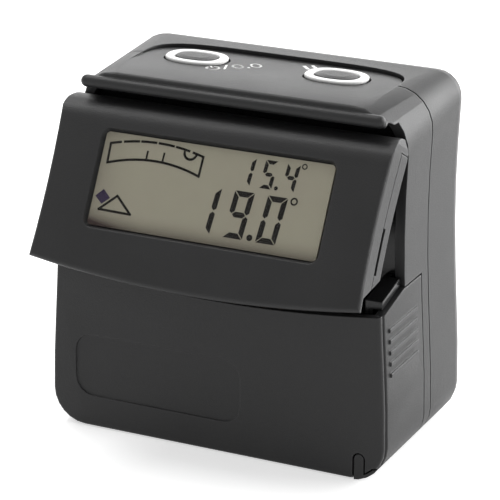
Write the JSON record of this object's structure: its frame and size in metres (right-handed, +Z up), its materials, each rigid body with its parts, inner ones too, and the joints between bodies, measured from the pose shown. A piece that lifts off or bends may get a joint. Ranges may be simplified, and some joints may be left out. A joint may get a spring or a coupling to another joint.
{
  "type": "digital angle gauge",
  "caption": "Box-shaped magnetic digital angle gauge with a flip-out display panel, keys on its top, magnets in its base and a pull-down battery cover.",
  "frame": {"origin": "middle of the housing's base", "axes": "+X across the front to the reader's right, +Y from the display to the rear, +Z up from the base"},
  "size_m": [0.058, 0.0434, 0.0584],
  "materials": {
    "black_plastic": "fine grain, half matt",
    "gloss_plastic": "gloss",
    "white_plastic": "satin",
    "clear_plastic": "clear",
    "lcd": "satin grey-green",
    "strip_rubber": "matt",
    "board": "satin",
    "chip": "matt",
    "tinned_steel": "tinned",
    "nickel": "nickel plated",
    "zinc_screw": "zinc plated",
    "cell_jacket": "plain printed jacket",
    "ribbon_film": "film"
  },
  "bodies": {
    "housing": {"front_shell": "black_plastic", "rear_shell": "black_plastic", "chassis": "gloss_plastic", "magnet_1": "nickel", "magnet_2": "nickel", "magnet_3": "nickel", "magnet_4": "nickel", "housing_screw_upper_left": "zinc_screw", "housing_screw_upper_right": "zinc_screw", "housing_screw_lower_left": "zinc_screw", "housing_screw_lower_right": "zinc_screw", "cell_upper": "cell_jacket", "cell_lower": "cell_jacket", "contact_bridge": "tinned_steel", "contact_positive": "tinned_steel", "contact_negative": "tinned_steel", "spring_upper": "tinned_steel", "spring_lower": "tinned_steel", "main_board": "board", "board_screw_lower_left": "zinc_screw", "board_screw_lower_right": "zinc_screw", "board_screw_upper_left": "zinc_screw", "board_screw_upper_right": "zinc_screw", "tilt_sensor": "tinned_steel", "processor": "chip", "crystal": "tinned_steel", "capacitor": "chip", "ribbon_socket": "white_plastic", "board_header": "chip", "display_ribbon": "ribbon_film", "keypad_board": "board", "keypad_screw": "zinc_screw", "zero_switch": "chip", "hold_switch": "chip"},
    "display": {"display_bezel": "black_plastic", "display_back": "black_plastic", "display_lens": "clear_plastic", "lcd_glass": "lcd", "display_strip_lower": "strip_rubber", "display_strip_upper": "strip_rubber", "display_board": "board", "display_screw_left": "zinc_screw", "display_screw_right": "zinc_screw", "hinge_pin_left": "tinned_steel", "hinge_pin_right": "tinned_steel"},
    "cover": {"battery_cover": "black_plastic", "front_plate": "black_plastic"},
    "zero_key": {"zero_button": "black_plastic", "zero_ring": "white_plastic", "zero_plunger": "white_plastic"},
    "hold_key": {"hold_button": "black_plastic", "hold_ring": "white_plastic", "hold_plunger": "white_plastic"}
  },
  "joints": [
    {"name": "display_hinge", "type": "hinge", "parent": "housing", "child": "display", "pos_m": [0, -0.0136, 0.0473], "axis": [-1, 0, 0], "range_deg": [-28.8, 0], "deforming": ["display_ribbon"]},
    {"name": "cover_slide", "type": "slide", "parent": "housing", "child": "cover", "axis": [0, 0, -1], "range_m": [0, 0.03]},
    {"name": "zero_press", "type": "slide", "parent": "housing", "child": "zero_key", "axis": [0, 0, -1], "range_m": [0, 0.0006], "stiffness_N_per_m": 1500, "springref_m": -0.0003},
    {"name": "hold_press", "type": "slide", "parent": "housing", "child": "hold_key", "axis": [0, 0, -1], "range_m": [0, 0.0006], "stiffness_N_per_m": 1500, "springref_m": -0.0003}
  ]
}
